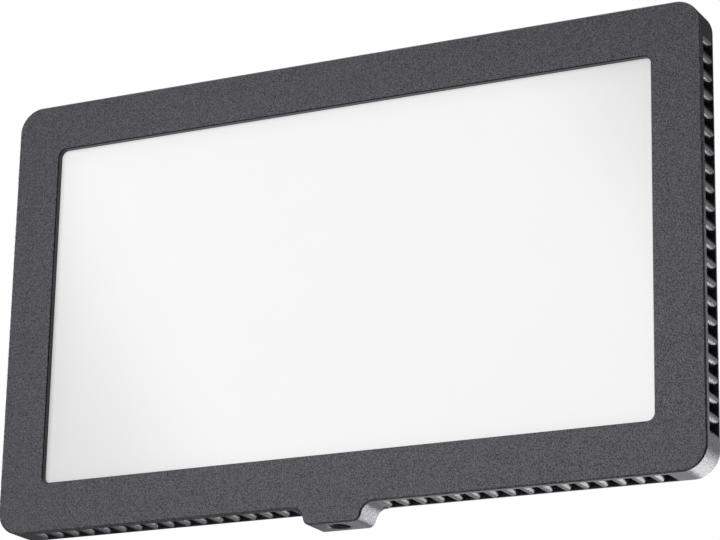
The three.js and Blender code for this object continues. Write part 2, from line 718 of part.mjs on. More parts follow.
function addOptics() {
  add('front_housing', frontHousing(), anodised);
  add('window_gasket', windowGasket(), blackFoam);
  add('diffuser_panel', sheet(LIGHT_INSET, SHEET_R, DIFFUSER_Y, DIFFUSER_T), opal);
  add('light_guide_plate', sheet(LIGHT_INSET, SHEET_R, GUIDE_Y, GUIDE_T), clearAcrylic);
  add('reflector_sheet', sheet(LIGHT_INSET, SHEET_R, REFLECTOR_Y, REFLECTOR_T), whiteFilm);
  add('led_strip_left', ledStrip(-1), whiteFilm);
  add('led_strip_right', ledStrip(1), whiteFilm);
}

function addInterior() {
  add('mid_plate', midPlate(), bareAluminium);
  PLATE_SCREWS.forEach(([x, z], i) => {
    add(`mid_plate_screw_${i + 1}`, panScrew(DECK_Y + GAP), blackSteel, [x, 0, z]);
  });
  add('battery_cell_left', batteryCell(-1), foilGrey);
  add('battery_cell_right', batteryCell(1), foilGrey);
  add('battery_tab_left', batteryTab(-1), bareAluminium);
  add('battery_tab_right', batteryTab(1), bareAluminium);
  add('main_board', mainBoard(), circuitGreen);
  add('display_module', displayModule(), blackPlastic);
  add('led_lead_left', ledLead(-1), wireRed);
  add('led_lead_right', ledLead(1), wireRed);
  add('charge_board', chargeBoard(), circuitGreen);
  add('usb_socket', usbSocket(), brightSteel);
  add('tripod_insert', tripodInsert(), brightSteel);
}

function addControls() {
  BUTTONS.forEach((name, i) => {
    const x = buttonX(i);
    add(`${name}_switch`, switchBody(x), blackPlastic);
    add(`${name}_plunger`, switchPlunger(x), blackPlastic);
    add(`${name}_button`, buttonCap(), blackPlastic, [x, 0, BUTTON_Z]);
  });
}

function addCover() {
  add('display_window', displayWindow(), darkLens);
  add('back_cover', backCover(), anodised);
  POSTS.forEach(([x, z], i) => {
    add(`cover_screw_${i + 1}`, coverScrew(), blackSteel, [x, 0, z]);
  });
}

addOptics();
addInterior();
addControls();
addCover();

export default part;
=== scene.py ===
"""Looks for a slim LED soft-light panel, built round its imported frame.

X runs along the panel's width, +Z is up, and the light leaves towards -Y. The origin is the mouth
of the tripod hole, on the boss's underside. Shapes are worked out in millimetres and turned into
metres as each mesh is made.
"""
import math

import bmesh
import bpy
from mathutils import Matrix, Vector


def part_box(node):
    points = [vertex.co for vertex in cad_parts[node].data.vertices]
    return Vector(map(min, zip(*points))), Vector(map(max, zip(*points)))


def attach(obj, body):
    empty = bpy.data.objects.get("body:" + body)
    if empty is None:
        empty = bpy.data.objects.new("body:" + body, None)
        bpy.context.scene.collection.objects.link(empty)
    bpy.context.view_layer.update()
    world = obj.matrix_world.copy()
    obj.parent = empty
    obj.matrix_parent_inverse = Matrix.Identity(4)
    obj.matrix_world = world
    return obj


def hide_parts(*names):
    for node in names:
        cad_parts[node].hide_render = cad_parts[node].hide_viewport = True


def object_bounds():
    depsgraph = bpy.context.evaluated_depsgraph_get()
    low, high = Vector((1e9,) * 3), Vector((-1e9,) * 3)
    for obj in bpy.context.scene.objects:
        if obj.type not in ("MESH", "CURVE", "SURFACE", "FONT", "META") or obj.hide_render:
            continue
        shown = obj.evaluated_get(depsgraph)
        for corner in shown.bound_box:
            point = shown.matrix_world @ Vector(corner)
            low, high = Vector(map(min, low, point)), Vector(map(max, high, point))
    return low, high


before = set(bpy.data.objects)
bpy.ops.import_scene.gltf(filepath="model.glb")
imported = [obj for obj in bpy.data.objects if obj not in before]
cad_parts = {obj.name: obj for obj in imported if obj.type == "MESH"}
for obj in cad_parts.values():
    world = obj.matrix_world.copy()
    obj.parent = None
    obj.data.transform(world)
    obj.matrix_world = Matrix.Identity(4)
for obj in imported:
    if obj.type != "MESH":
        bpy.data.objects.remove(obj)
cad_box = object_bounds()

MM = 0.001
MERGE = 1e-6  # vertices nearer than this, in metres, are one
QUARTER = math.pi / 2
TURN = 2 * math.pi


def box_mm(node):
    """The lowest and highest corners of a frame node, in millimetres."""
    low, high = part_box(node)
    return low / MM, high / MM


# ---- Sizes read from the frame -----------------------------------------------------------
HOUSING_LOW, HOUSING_HIGH = box_mm("front_housing")
COVER_LOW = box_mm("back_cover")[0]
FRONT = HOUSING_LOW.y
BACK = HOUSING_HIGH.y
HALF_W = HOUSING_HIGH.x
TOP_Z = HOUSING_HIGH.z
EDGE_Z = COVER_LOW.z  # the panel's lower edge, above the boss's underside
MID_Z = (EDGE_Z + TOP_Z) / 2
HALF_H = (TOP_Z - EDGE_Z) / 2
COVER_Y = COVER_LOW.y

# ---- Sizes of the housing ----------------------------------------------------------------
CORNER_R = 8.3
BEZEL = 16.6
WINDOW_R = 2.5
WINDOW_CHAMFER = 0.3
FRONT_CHAMFER = 0.5
BACK_CHAMFER = 0.3
FLANGE_Y = FRONT + 2.4
FLANGE_EDGE = 0.2  # rounding of the flange's rear edge where a flute cuts it
LIP_Y = FRONT + 1.9
LEDGE = 13.1
STRIP_LEDGE = 11.4
LEDGE_Y = 0.25
WALL = 4.8
FLUTE_PITCH = 6.08
FLUTE_GAP = 2.3
FLUTE_DEPTH = 3.2
FLUTE_ROOT_R = 0.35
RIB_R = 1.88
RIB_STEPS = 9
SIDE_FLUTES = 10
LONG_FLUTES = 18
BOSS_CLEAR_FLUTES = 3
PORT_CLEAR_FLUTES = 2
BOSS_HALF = 10.2
BOSS_FILLET = 4.35
BOSS_CORNER = 2.6
BOSS_SLOPE = math.radians(15)
POST_INSET = 9
POST_X = 42
POST_R = 2.6
COVER_HOLE_R = 1.3
COVER_HOLE_DEPTH = 6
PLATE_SCREW_X = 78
PLATE_HOLE_R = 1.1
PLATE_HOLE_DEPTH = 3
POCKET_R = 2
WALL_POCKET_R = 3.5
BOSS_SEAM = 0.15
SOCKET_R = 3.45
SOCKET_DEPTH = 10.2
SOCKET_CHAMFER = 0.3
OVERCUT = 1  # how far a cutter reaches past what it cuts

# ---- Sizes of the small pieces -----------------------------------------------------------
SHEET_GAP = 0.05
PORT_Y = 2.4
PORT_W = 8.94
PORT_T = 3.26
PORT_SHELL = 0.3
PORT_CLEAR = 0.3
PORT_BACK_T = 1.2
PORT_CHAMFER = 0.25
TONGUE_T = 0.7
TONGUE_W = 6.6
TONGUE_INSET = 0.8
COVER_SCREW_R = 0.95
COVER_HEAD_R = 1.75
COVER_HEAD_T = 0.85
CAP_R = 4.2
CAP_FLANGE_R = 5.1
CAP_FLANGE_T = 0.35
CAP_EDGE = 0.25
DISH_DEPTH = 0.2
STEM_R = 1.8
STEM_TIP_R = 1.3  # narrow enough to enter the switch's well
STEM_TIP = 0.15
DISPLAY_R = 2
LENS_FLANGE = 1.5
LENS_FLANGE_T = 0.35
LENS_EDGE = 0.2


# ---- Outlines ----------------------------------------------------------------------------
def arc(cx, cz, radius, start, end, steps, convex=True):
    """Outline points (x, z, inward x, inward z, flute depth) along an arc.

    Inward is the direction into the material: towards the centre of a convex arc.
    """
    side = -1 if convex else 1
    points = []
    for i in range(steps + 1):
        angle = start + (end - start) * i / steps
        c, s = math.cos(angle), math.sin(angle)
        points.append((cx + radius * c, cz + radius * s, side * c, side * s, 0.0))
    return points


def flute_profile():
    """One flute as (along, depth): a rounded shoulder, a gap with round roots, the other shoulder."""
    shoulder = []
    for i in range(RIB_STEPS + 1):
        angle = QUARTER * i / RIB_STEPS
        along = -FLUTE_GAP / 2 - RIB_R * (1 - math.sin(angle))
        shoulder.append((along, RIB_R * (1 - math.cos(angle))))
    for i in range(4):
        angle = QUARTER * i / 3
        along = -FLUTE_GAP / 2 + FLUTE_ROOT_R * (1 - math.cos(angle))
        shoulder.append((along, FLUTE_DEPTH - FLUTE_ROOT_R * (1 - math.sin(angle))))
    return shoulder + [(-along, depth) for along, depth in reversed(shoulder)]


def fluted_run(middle, along, inward, indices):
    """The outline points of one side's flutes, walked in the direction `along`."""
    points = []
    for index in indices:
        for s, depth in flute_profile():
            step = index * FLUTE_PITCH + s
            x = middle[0] + along[0] * step
            z = middle[1] + along[1] * step
            points.append((x, z, inward[0], inward[1], depth))
    return points


def boss_run():
    """The boss below the panel's lower edge, from left to right: fillets, sloped sides, corners."""
    fillet_x = BOSS_HALF + BOSS_FILLET
    fillet_z = EDGE_Z - BOSS_FILLET
    side_x = fillet_x - BOSS_FILLET * math.cos(BOSS_SLOPE)
    side_z = fillet_z + BOSS_FILLET * math.sin(BOSS_SLOPE)
    touch_z = BOSS_CORNER * (1 - math.sin(BOSS_SLOPE))
    touch_x = side_x - (side_z - touch_z) * math.tan(BOSS_SLOPE)
    corner_x = touch_x - BOSS_CORNER * math.cos(BOSS_SLOPE)
    return [
        *arc(-fillet_x, fillet_z, BOSS_FILLET, QUARTER, BOSS_SLOPE, 14, convex=False),
        *arc(-corner_x, BOSS_CORNER, BOSS_CORNER, 2 * QUARTER + BOSS_SLOPE, 3 * QUARTER, 10),
        *arc(corner_x, BOSS_CORNER, BOSS_CORNER, -QUARTER, -BOSS_SLOPE, 10),
        *arc(fillet_x, fillet_z, BOSS_FILLET, 2 * QUARTER - BOSS_SLOPE, QUARTER, 14, convex=False),
    ]


def indices(first, last):
    """The whole numbers from first to last, both included."""
    return range(first, last + 1)


def housing_outline():
    """The housing's edge, anticlockwise from its lower left corner."""
    x = HALF_W - CORNER_R
    low = EDGE_Z + CORNER_R
    high = TOP_Z - CORNER_R
    beside_port = [*indices(-SIDE_FLUTES, -PORT_CLEAR_FLUTES), *indices(PORT_CLEAR_FLUTES, SIDE_FLUTES)]
    left_of_boss = indices(-LONG_FLUTES, -BOSS_CLEAR_FLUTES)
    right_of_boss = indices(BOSS_CLEAR_FLUTES, LONG_FLUTES)
    all_long = indices(-LONG_FLUTES, LONG_FLUTES)
    all_side = indices(-SIDE_FLUTES, SIDE_FLUTES)
    return [
        *arc(-x, low, CORNER_R, 2 * QUARTER, 3 * QUARTER, 20),
        *fluted_run((0, EDGE_Z), (1, 0), (0, 1), left_of_boss),
        *boss_run(),
        *fluted_run((0, EDGE_Z), (1, 0), (0, 1), right_of_boss),
        *arc(x, low, CORNER_R, -QUARTER, 0, 20),
        *fluted_run((HALF_W, MID_Z), (0, 1), (-1, 0), all_side),
        *arc(x, high, CORNER_R, 0, QUARTER, 20),
        *fluted_run((0, TOP_Z), (-1, 0), (0, -1), all_long),
        *arc(-x, high, CORNER_R, QUARTER, 2 * QUARTER, 20),
        *fluted_run((-HALF_W, MID_Z), (0, -1), (1, 0), beside_port),
    ]


def loop_at(outline, y, inset):
    """A closed loop of points at depth y; inset(flute depth) moves each point inwards."""
    return [(x + ix * inset(d), y, z + iz * inset(d)) for x, z, ix, iz, d in outline]


def rounded_rect(cx, cz, half_w, half_h, radius, steps=8):
    """A rounded rectangle as outline points, anticlockwise."""
    x = half_w - radius
    z = half_h - radius
    corners = ((x, -z, -1), (x, z, 0), (-x, z, 1), (-x, -z, 2))
    points = []
    for dx, dz, quarter in corners:
        start = quarter * QUARTER
        points += arc(cx + dx, cz + dz, radius, start, start + QUARTER, steps)
    return points


def rect_loop(half_w, half_h, radius, y, steps=8):
    """A rounded rectangle about the panel's middle, as a loop at depth y."""
    outline = rounded_rect(0, MID_Z, half_w, half_h, radius, steps)
    return loop_at(outline, y, lambda depth: 0)


def circle_loop(cx, cz, radius, y, sides):
    """A circle about an axis along Y."""
    angles = [TURN * i / sides for i in range(sides)]
    return [(cx + radius * math.cos(a), y, cz + radius * math.sin(a)) for a in angles]


def turned_loops(cx, cz, profile, sides=40):
    """Circles about an axis along Y, one for each (radius, y) pair."""
    return [circle_loop(cx, cz, radius, y, sides) for radius, y in profile]


def upright_circle(radius, z, sides=72):
    """A circle about the tripod hole's axis."""
    angles = [TURN * i / sides for i in range(sides)]
    return [(radius * math.cos(a), radius * math.sin(a), z) for a in angles]


# ---- Mesh building -----------------------------------------------------------------------
def skin(bm, loops):
    """Faces between following loops of equal length."""
    rings = [[bm.verts.new(Vector(p) * MM) for p in loop] for loop in loops]
    for near, far in zip(rings, rings[1:]):
        for i in range(len(near)):
            j = (i + 1) % len(near)
            bm.faces.new((near[i], near[j], far[j], far[i]))


def cap(bm, axis=1):
    """Fills the open rings of a skin, each plane across the axis by itself."""
    bmesh.ops.remove_doubles(bm, verts=bm.verts, dist=MERGE)
    planes = {}
    for edge in bm.edges:
        if edge.is_boundary:
            planes.setdefault(round(edge.verts[0].co[axis] / MERGE), []).append(edge)
    for edges in planes.values():
        bmesh.ops.triangle_fill(bm, edges=edges, use_beauty=True, use_dissolve=False)


def to_mesh(name, bm):
    """Turns a bmesh into mesh data with its faces pointing out, and frees it."""
    bmesh.ops.recalc_face_normals(bm, faces=bm.faces)
    mesh = bpy.data.meshes.new(name)
    bm.to_mesh(mesh)
    bm.free()
    return mesh


def smooth(mesh, angle=math.radians(30)):
    """Smooth shading, with sharp edges over the angle."""
    mesh.shade_smooth()
    mesh.set_sharp_from_angle(angle=angle)


def piece(name, mesh, slot, body="root", replaces=()):
    """An object of the finished mesh in its slot's material, riding on its body."""
    smooth(mesh)
    mesh.materials.clear()
    mesh.materials.append(LOOKS[slot])
    obj = bpy.data.objects.new(name, mesh)
    bpy.context.scene.collection.objects.link(obj)
    weighted = obj.modifiers.new("weighted_normals", "WEIGHTED_NORMAL")
    weighted.keep_sharp = True
    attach(obj, body)
    if replaces:
        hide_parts(*replaces)
    return obj


def combined(mesh, cutters):
    """The mesh after joining to it, or cutting from it, each (operation, mesh) in turn."""
    obj = bpy.data.objects.new("work", mesh)
    bpy.context.scene.collection.objects.link(obj)
    tools = []
    for operation, tool_mesh in cutters:
        tool = bpy.data.objects.new("tool", tool_mesh)
        bpy.context.scene.collection.objects.link(tool)
        tools.append(tool)
        modifier = obj.modifiers.new(operation, "BOOLEAN")
        modifier.operation = operation
        modifier.object = tool
        modifier.solver = "EXACT"
    graph = bpy.context.evaluated_depsgraph_get()
    result = bpy.data.meshes.new_from_object(obj.evaluated_get(graph))
    for used in (obj, *tools):
        bpy.data.objects.remove(used)
    return result


# ---- Materials ---------------------------------------------------------------------------
class Look:
    """A Principled material under construction, with its texture nodes in object space."""

    def __init__(self, name, **sockets):
        self.material = bpy.data.materials.new(name)
        self.material.use_nodes = True
        self.nodes = self.material.node_tree.nodes
        self.links = self.material.node_tree.links
        self.shader = self.nodes["Principled BSDF"]
        for label, value in sockets.items():
            self.shader.inputs[label.replace("_", " ")].default_value = value
        self.place = self.nodes.new("ShaderNodeTexCoord").outputs["Object"]

    def noise(self, scale, detail=2.0, roughness=0.5):
        """Noise of about 1/scale metres."""
        node = self.nodes.new("ShaderNodeTexNoise")
        node.inputs["Scale"].default_value = scale
        node.inputs["Detail"].default_value = detail
        node.inputs["Roughness"].default_value = roughness
        self.links.new(self.place, node.inputs["Vector"])
        return node.outputs["Fac"]

    def ramp(self, value, stops):
        """A colour ramp over (position, colour) stops."""
        node = self.nodes.new("ShaderNodeValToRGB")
        elements = node.color_ramp.elements
        while len(elements) < len(stops):
            elements.new(0.5)
        for element, (position, colour) in zip(elements, stops):
            element.position = position
            element.color = (*colour, 1)
        self.links.new(value, node.inputs["Fac"])
        return node.outputs["Color"]

    def mapped(self, value, start, end, low, high):
        """The value's range start..end mapped smoothly to low..high."""
        node = self.nodes.new("ShaderNodeMapRange")
        node.interpolation_type = "SMOOTHSTEP"
        for label, number in zip(("From Min", "From Max", "To Min", "To Max"), (start, end, low, high)):
            node.inputs[label].default_value = number
        self.links.new(value, node.inputs["Value"])
        return node.outputs["Result"]

    def spread(self, value, low, high):
        """The middle of a noise's range mapped to low..high."""
        return self.mapped(value, 0.3, 0.7, low, high)

    def slope(self, direction, offset):
        """The size of a plane ramp: |direction . place in mm + offset|."""
        dot = self.nodes.new("ShaderNodeVectorMath")
        dot.operation = "DOT_PRODUCT"
        dot.inputs[1].default_value = Vector(direction) / MM
        self.links.new(self.place, dot.inputs[0])
        add = self.math("ADD", dot.outputs["Value"], offset)
        return self.math("ABSOLUTE", add)

    def math(self, operation, value, number=0.0):
        """One math node on a value and a number."""
        node = self.nodes.new("ShaderNodeMath")
        node.operation = operation
        self.links.new(value, node.inputs[0])
        node.inputs[1].default_value = number
        return node.outputs["Value"]

    def product(self, first, second):
        """Two values multiplied."""
        node = self.nodes.new("ShaderNodeMath")
        node.operation = "MULTIPLY"
        self.links.new(first, node.inputs[0])
        self.links.new(second, node.inputs[1])
        return node.outputs["Value"]

    def dimmed(self, colour, share):
        """A colour multiplied by a share."""
        node = self.nodes.new("ShaderNodeVectorMath")
        node.operation = "SCALE"
        self.links.new(colour, node.inputs[0])
        self.links.new(share, node.inputs["Scale"])
        return node.outputs["Vector"]

    def bump(self, height, strength, distance):
        """Bump of the height, chained after any earlier bump."""
        node = self.nodes.new("ShaderNodeBump")
        node.inputs["Strength"].default_value = strength
        node.inputs["Distance"].default_value = distance
        socket = self.shader.inputs["Normal"]
        if socket.links:
            self.links.new(socket.links[0].from_socket, node.inputs["Normal"])
        self.links.new(height, node.inputs["Height"])
        self.links.new(node.outputs["Normal"], socket)

    def feed(self, label, value):
        """Connects a value to one of the shader's sockets."""
        self.links.new(value, self.shader.inputs[label])


def grey(level, tint=(1, 1, 1)):
    """A grey of linear brightness, tinted."""
    return tuple(level * part for part in tint)


CHARCOAL_TINT = (0.985, 0.96, 1.11)


WALL_PAINTED_SHADE = 0.25  # painted shade: the window's wall gets this share of the blasted faces' colour
WALL_START = 0.02  # from the bezel's face to where the painted shade on the wall starts


def painted_wall_shade(look):
    """The share of painted shade on the window's wall and its chamfer, and 1 everywhere else."""
    half_w = HALF_W - BEZEL + WINDOW_CHAMFER
    half_h = HALF_H - BEZEL + WINDOW_CHAMFER
    in_width = look.math("LESS_THAN", look.slope((1, 0, 0), 0), half_w)
    in_height = look.math("LESS_THAN", look.slope((0, 0, 1), -MID_Z), half_h)
    middle_y, half_depth = (FRONT + LIP_Y) / 2, (LIP_Y - FRONT) / 2 - WALL_START
    in_depth = look.math("LESS_THAN", look.slope((0, 1, 0), -middle_y), half_depth)
    wall = look.product(look.product(in_width, in_height), in_depth)
    return look.math("ADD", look.math("MULTIPLY", wall, WALL_PAINTED_SHADE - 1), 1)


def blasted_anodised(name, level, window=False):
    """Charcoal anodised aluminium with a fine bead-blasted grain, and painted shade on a window's wall."""
    look = Look(name, Metallic=0.55)
    grain = look.noise(2400, 2, 0.7)
    dark, light = grey(level * 0.16, CHARCOAL_TINT), grey(level * 1.86, CHARCOAL_TINT)
    colour = look.ramp(grain, [(0.34, dark), (0.68, light)])
    # painted shade: the window's wall is darkened
    if window:
        colour = look.dimmed(colour, painted_wall_shade(look))
    look.feed("Base Color", colour)
    look.feed("Roughness", look.spread(look.noise(700, 2), 0.27, 0.33))
    look.bump(grain, 0.6, 0.00008)
    return look.material


def opal_acrylic():
    """The satin opal diffuser, lit from within, with painted shading that dims the glow towards two
    corners.
    """
    look = Look("opal_acrylic", Roughness=0.3, IOR=1.49)
    look.feed("Base Color", look.ramp(look.noise(40), [(0.3, grey(0.84)), (0.7, grey(0.86))]))
    look.shader.inputs["Emission Color"].default_value = (1, 1, 1, 1)
    # painted shading: a plane ramp across the window dims the glow towards two corners
    painted_corner_dimming = look.slope((1 / HALF_W, 0, 0.35 / HALF_H), -0.1 - 0.35 * MID_Z / HALF_H)
    look.feed("Emission Strength", look.mapped(painted_corner_dimming, 0.6, 1.15, 0.555, 0.4))
    look.bump(look.noise(3000), 0.1, 0.00002)
    return look.material


def plain_look(name, colour, roughness, metallic=0.0, scale=900, contrast=0.15, relief=0.00003):
    """A finish with fine colour variation, uneven roughness and a slight relief."""
    look = Look(name, Metallic=metallic)
    fine = look.noise(scale, 3)
    dark = tuple(part * (1 - contrast) for part in colour)
    light = tuple(min(1, part * (1 + contrast)) for part in colour)
    look.feed("Base Color", look.ramp(fine, [(0.3, dark), (0.7, light)]))
    look.feed("Roughness", look.spread(look.noise(scale / 6, 2), roughness * 0.9, roughness * 1.1))
    look.bump(fine, 0.3, relief)
    return look.material


LOOKS = {
    # the housing's window wall gets painted shade
    "housing_anodised": blasted_anodised("housing_anodised", 0.11, window=True),
    "cover_anodised": blasted_anodised("cover_anodised", 0.105),
    "black_foam": plain_look("black_foam", grey(0.012), 0.95, scale=2500, contrast=0.5, relief=0.0001),
    "opal_acrylic": opal_acrylic(),
    "clear_acrylic": plain_look("clear_acrylic", (0.82, 0.88, 0.88), 0.12, scale=500, contrast=0.03),
    "white_film": plain_look("white_film", grey(0.9), 0.6, scale=400, contrast=0.03),
    "led_board": plain_look("led_board", (0.82, 0.82, 0.8), 0.4, scale=700, contrast=0.05),
    "bare_aluminium": plain_look("bare_aluminium", grey(0.6), 0.35, metallic=1.0, scale=800),
    "battery_foil": plain_look("battery_foil", (0.36, 0.37, 0.38), 0.45, metallic=0.4, scale=120),
    "nickel_tab": plain_look("nickel_tab", (0.62, 0.6, 0.56), 0.3, metallic=1.0, scale=900),
    "circuit_board": plain_look("circuit_board", (0.02, 0.1, 0.05), 0.4, scale=600, contrast=0.3),
    "black_plastic": plain_look("black_plastic", grey(0.018), 0.5, scale=1800),
    "button_plastic": plain_look("button_plastic", grey(0.03), 0.42, scale=2200),
    "lead_jacket": plain_look("lead_jacket", (0.35, 0.02, 0.02), 0.5, scale=1200),
    "bright_steel": plain_look("bright_steel", grey(0.6), 0.25, metallic=1.0, scale=1500),
    "black_steel": plain_look("black_steel", grey(0.035), 0.38, metallic=0.7, scale=2000),
    "display_lens": plain_look("display_lens", grey(0.008), 0.06, scale=300, relief=0.000005),
}


# ---- Camera and studio -------------------------------------------------------------------
CAMERA_PLACE = Vector((414.2, -799.95, -199.2)) * MM
CAMERA_FORWARD = Vector((-0.4339, 0.8493, 0.3007))
CAMERA_RIGHT = Vector((0.8931, 0.4495, 0.0191))
CAMERA_LENS = 145.98  # in millimetres, on a sensor SENSOR_WIDTH wide
SENSOR_WIDTH = 36


def make_camera():
    """The camera, below and to the right of the panel, looking up at it."""
    data = bpy.data.cameras.new("camera")
    data.lens = CAMERA_LENS
    data.sensor_width = SENSOR_WIDTH
    data.clip_start = 0.01
    data.clip_end = 50
    camera = bpy.data.objects.new("camera", data)
    bpy.context.scene.collection.objects.link(camera)
    back = -CAMERA_FORWARD.normalized()
    right = (CAMERA_RIGHT - CAMERA_RIGHT.dot(back) * back).normalized()
    up = back.cross(right)
    rotation = Matrix((right, up, back)).transposed().to_4x4()
    camera.matrix_world = Matrix.Translation(CAMERA_PLACE) @ rotation
    bpy.context.scene.camera = camera


CENTRE = (cad_box[0] + cad_box[1]) / 2
SKY_STRENGTH = 0.08
FLOOR_Z = -1000
FLOOR_HALF = 4000
FLOOR_GLOW = 0.9
FLOOR_GLOW_SHARE = 0.85


def area_light(name, place, target, width, height, power, colour=(1, 1, 1)):
    """A soft box at a place, turned towards its target, both in metres."""
    data = bpy.data.lights.new(name, "AREA")
    data.shape = "RECTANGLE"
    data.size = width
    data.size_y = height
    data.energy = power
    data.color = colour
    light = bpy.data.objects.new(name, data)
    bpy.context.scene.collection.objects.link(light)
    light.location = place
    light.rotation_mode = "QUATERNION"
    light.rotation_quaternion = (light.location - Vector(target)).to_track_quat("Z", "Y")
    light.visible_camera = False


def make_lights():
    """Soft boxes overhead, in front and at the sides, and low ones behind that light the ribs.

    Places and sizes are in metres, and powers in watts.
    """
    area_light("overhead_box", CENTRE + Vector((0, 0, 1.6)), CENTRE, 2.4, 2.4, 13)
    area_light("front_box", CENTRE + Vector((-0.4, -1.0, 0.15)), CENTRE, 0.9, 0.9, 3.0)
    area_light("rear_box", (0.185, 0.35, -0.14), (0.185, 0, -0.14), 0.24, 0.38, 1.2)
    area_light("rear_upper_box", (0.165, 0.35, -0.03), (0.165, 0, -0.03), 0.17, 0.12, 0.33)
    area_light("rear_upper_glow", (0.31, 0.35, 0.09), (0.31, 0, 0.09), 0.24, 0.26, 0.15)
    area_light("rear_left_glow", (-0.07, 0.35, -0.15), (-0.07, 0, -0.15), 0.24, 0.3, 0.14)
    area_light("back_fill", CENTRE + Vector((-0.9, 0.9, 0.5)), CENTRE, 0.8, 0.8, 8)
    area_light("left_fill", CENTRE + Vector((-1.4, -0.1, 0.3)), CENTRE, 0.8, 0.8, 6)
    area_light("right_fill", CENTRE + Vector((1.4, 0, 0.8)), CENTRE, 0.8, 0.8, 1.5)


def make_world():
    """White for the camera, and a dim even sky for everything else."""
    world = bpy.data.worlds.new("studio")
    bpy.context.scene.world = world
    world.use_nodes = True
    nodes, links = world.node_tree.nodes, world.node_tree.links
    sky = nodes["Background"]
    sky.inputs["Color"].default_value = (1, 1, 1, 1)
    sky.inputs["Strength"].default_value = SKY_STRENGTH
    backdrop = nodes.new("ShaderNodeBackground")
    backdrop.inputs["Color"].default_value = (1, 1, 1, 1)
    path = nodes.new("ShaderNodeLightPath")
    mix = nodes.new("ShaderNodeMixShader")
    links.new(path.outputs["Is Camera Ray"], mix.inputs["Fac"])
    links.new(sky.outputs["Background"], mix.inputs[1])
    links.new(backdrop.outputs["Background"], mix.inputs[2])
    links.new(mix.outputs["Shader"], nodes["World Output"].inputs["Surface"])
    bpy.context.scene.view_settings.view_transform = "Standard"


def floor_paint():
    """Pale paint, which looks pale to the camera however little light falls on it."""
    material = plain_look("floor_paint", grey(0.8), 0.8, scale=30, contrast=0.01)
    nodes, links = material.node_tree.nodes, material.node_tree.links
    glow = nodes.new("ShaderNodeEmission")
    glow.inputs["Color"].default_value = (*grey(FLOOR_GLOW), 1)
    path = nodes.new("ShaderNodeLightPath")
    share = nodes.new("ShaderNodeMath")
    share.operation = "MULTIPLY"
    share.inputs[1].default_value = FLOOR_GLOW_SHARE
    links.new(path.outputs["Is Camera Ray"], share.inputs[0])
    mix = nodes.new("ShaderNodeMixShader")
    links.new(share.outputs["Value"], mix.inputs["Fac"])
    links.new(nodes["Principled BSDF"].outputs["BSDF"], mix.inputs[1])
    links.new(glow.outputs["Emission"], mix.inputs[2])
    links.new(mix.outputs["Shader"], nodes["Material Output"].inputs["Surface"])
    return material


def make_floor():
    """A plain pale floor, well below the panel."""
    bm = bmesh.new()
    corners = ((-1, -1), (1, -1), (1, 1), (-1, 1))
    loop = [(x * FLOOR_HALF, y * FLOOR_HALF, FLOOR_Z) for x, y in corners]
    bm.faces.new([bm.verts.new(Vector(p) * MM) for p in loop])
    floor = bpy.data.objects.new("floor", to_mesh("floor", bm))
    floor.data.materials.append(floor_paint())
    bpy.context.scene.collection.objects.link(floor)


# ---- Housing -----------------------------------------------------------------------------
def post_places():
    """The centres (x, z) of the eight cover posts."""
    xs = (-(HALF_W - POST_INSET), -POST_X, POST_X, HALF_W - POST_INSET)
    return [(x, MID_Z + side * (HALF_H - POST_INSET)) for side in (-1, 1) for x in xs]


def plate_hole_places():
    """The centres (x, z) of the four holes for the mid plate's screws."""
    z = HALF_H - POST_INSET
    return [(x, MID_Z + side * z) for side in (-1, 1) for x in (-PLATE_SCREW_X, PLATE_SCREW_X)]


def housing_outside():
    """The loops of the housing's outer surface, from the bezel's edge to the cover's seat."""
    outline = housing_outline()
    loops = [
        loop_at(outline, FRONT, lambda depth: FRONT_CHAMFER),
        loop_at(outline, FRONT + FRONT_CHAMFER, lambda depth: 0),
    ]
    for i in range(4):
        angle = QUARTER * i / 3
        inset = FLANGE_EDGE * (1 - math.cos(angle))
        y = FLANGE_Y - FLANGE_EDGE * (1 - math.sin(angle))
        loops.append(loop_at(outline, y, lambda depth, inset=inset: min(depth, inset)))
    loops.append(loop_at(outline, FLANGE_Y, lambda depth: depth))
    loops.append(loop_at(outline, COVER_Y, lambda depth: depth))
    return loops


def window_inside():
    """The loops of the window and of the optical pocket behind it, as far as the ledge."""
    window_w, window_h = HALF_W - BEZEL, HALF_H - BEZEL
    flare = WINDOW_CHAMFER
    pocket_w, pocket_h = HALF_W - STRIP_LEDGE, HALF_H - LEDGE
    return [
        rect_loop(window_w + flare, window_h + flare, WINDOW_R + flare, FRONT),
        rect_loop(window_w, window_h, WINDOW_R, FRONT + flare),
        rect_loop(window_w, window_h, WINDOW_R, LIP_Y),
        rect_loop(pocket_w, pocket_h, POCKET_R, LIP_Y),
        rect_loop(pocket_w, pocket_h, POCKET_R, LEDGE_Y),
    ]


def wall_inside():
    """The loops of the open pocket behind the ledge."""
    half_w, half_h = HALF_W - WALL, HALF_H - WALL
    return [rect_loop(half_w, half_h, WALL_POCKET_R, y) for y in (LEDGE_Y, COVER_Y)]


def post_loops(x, z):
    """A post standing on the ledge, with the blind hole for its cover screw."""
    floor_y = COVER_Y - COVER_HOLE_DEPTH
    profile = ((POST_R, LEDGE_Y), (POST_R, COVER_Y), (COVER_HOLE_R, COVER_Y), (COVER_HOLE_R, floor_y))
    return turned_loops(x, z, profile)


def plate_hole_loops(x, z):
    """A blind hole in the ledge for one of the mid plate's screws."""
    return turned_loops(x, z, ((PLATE_HOLE_R, LEDGE_Y), (PLATE_HOLE_R, LEDGE_Y - PLATE_HOLE_DEPTH)))


